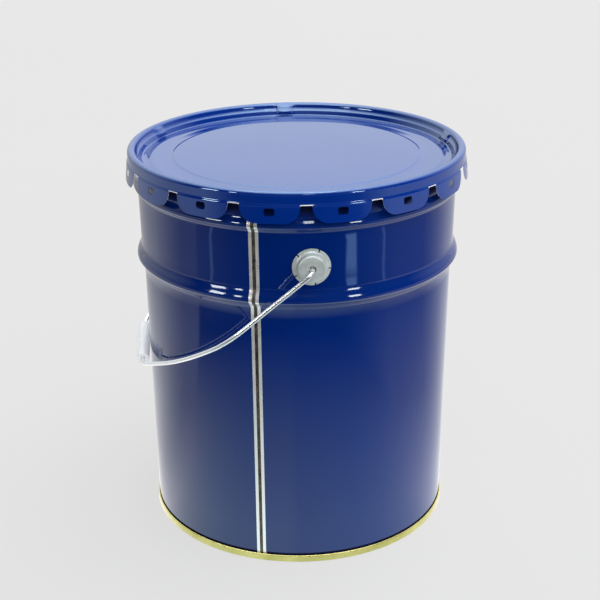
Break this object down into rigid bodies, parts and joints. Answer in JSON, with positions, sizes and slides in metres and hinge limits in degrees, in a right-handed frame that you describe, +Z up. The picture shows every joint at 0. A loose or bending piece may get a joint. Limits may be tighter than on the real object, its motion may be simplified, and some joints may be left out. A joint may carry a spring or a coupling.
{
  "type": "paint can",
  "caption": "Round tapered steel paint can with a lug lid, a double-seamed bottom, two ears, a hinged wire bail and a turning plastic grip.",
  "frame": {"origin": "centre of the can's underside, on the surface it stands on", "axes": "+Z up along the can's axis, Y through the two ears, -X towards the side where the bail hangs"},
  "size_m": [0.3188, 0.336, 0.3663],
  "materials": {
    "body_enamel": "gloss blue enamel",
    "bottom_gold": "gold lacquer on tinplate, satin",
    "seam_compound": "matt",
    "ear_zinc": "zinc plated, satin",
    "bail_galvanised": "bright galvanised wire",
    "grip_plastic": "translucent natural polyethylene",
    "lid_enamel": "gloss blue enamel",
    "gasket_rubber": "matt"
  },
  "bodies": {
    "can": {"body_shell": "body_enamel", "bottom_end": "bottom_gold", "bottom_seam_compound": "seam_compound", "ear_front": "ear_zinc", "ear_rear": "ear_zinc"},
    "bail": {"bail_wire": "bail_galvanised"},
    "grip": {"bail_grip": "grip_plastic"},
    "lid": {"lid_panel": "lid_enamel", "lid_gasket": "gasket_rubber"}
  },
  "joints": [
    {"name": "bail_swing", "type": "hinge", "parent": "can", "child": "bail", "pos_m": [0, 0, 0.297], "axis": [0, 1, 0], "range_deg": [0, 260.4]},
    {"name": "grip_spin", "type": "hinge", "parent": "bail", "child": "grip", "pos_m": [-0.15194, 0, 0.16849], "axis": [0, 1, 0], "continuous": true},
    {"name": "lid_lift", "type": "slide", "parent": "can", "child": "lid", "axis": [0, 0, 1], "range_m": [0, 0.06]}
  ]
}
